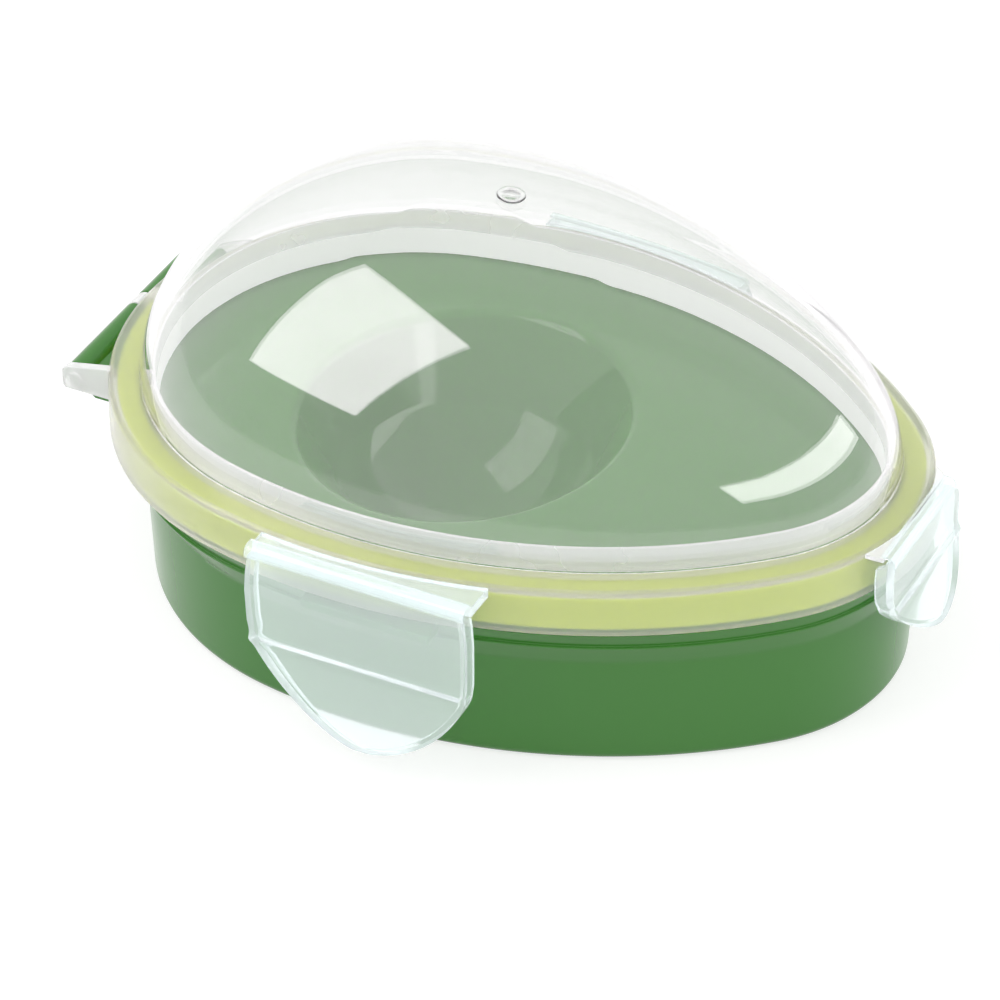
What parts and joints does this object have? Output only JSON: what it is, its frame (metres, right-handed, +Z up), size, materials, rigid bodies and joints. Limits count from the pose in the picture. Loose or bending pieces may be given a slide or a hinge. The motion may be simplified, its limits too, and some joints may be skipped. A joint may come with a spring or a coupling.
{
  "type": "avocado saver",
  "caption": "Egg-shaped avocado saver: a green bowl with a stone cup, a hinged clear dome lid with a gasket, and snap latches.",
  "frame": {"origin": "on the table under the middle of the egg outline, in the mirror plane", "axes": "+X towards the pointed end, +Z up, +Y to the back side latch"},
  "size_m": [0.1388, 0.1112, 0.0692],
  "materials": {
    "green_plastic": "satin moulded polypropylene",
    "milky_plastic": "translucent, satin",
    "clear_plastic": "clear, polished",
    "lime_silicone": "matt silicone"
  },
  "bodies": {
    "base": {"base_bowl": "green_plastic", "pit_tray": "green_plastic", "hinge_pin": "green_plastic"},
    "lid": {"lid_frame": "milky_plastic", "dome_cover": "clear_plastic", "gasket": "lime_silicone"},
    "front_latch": {"latch_front": "milky_plastic"},
    "back_latch": {"latch_back": "milky_plastic"},
    "tip_latch": {"latch_tip": "milky_plastic"}
  },
  "joints": [
    {"name": "lid_hinge", "type": "hinge", "parent": "base", "child": "lid", "pos_m": [-0.0659, 0, 0.0291], "axis": [0, -1, 0], "range_deg": [0, 105]},
    {"name": "front_latch_hinge", "type": "hinge", "parent": "lid", "child": "front_latch", "pos_m": [-0.001, -0.0515, 0.0323], "axis": [-1, 0, 0], "range_deg": [0, 135]},
    {"name": "back_latch_hinge", "type": "hinge", "parent": "lid", "child": "back_latch", "pos_m": [-0.001, 0.0515, 0.0323], "axis": [1, 0, 0], "range_deg": [0, 135]},
    {"name": "tip_latch_hinge", "type": "hinge", "parent": "lid", "child": "tip_latch", "pos_m": [0.0666, 0, 0.0323], "axis": [0, -1, 0], "range_deg": [0, 135]}
  ]
}
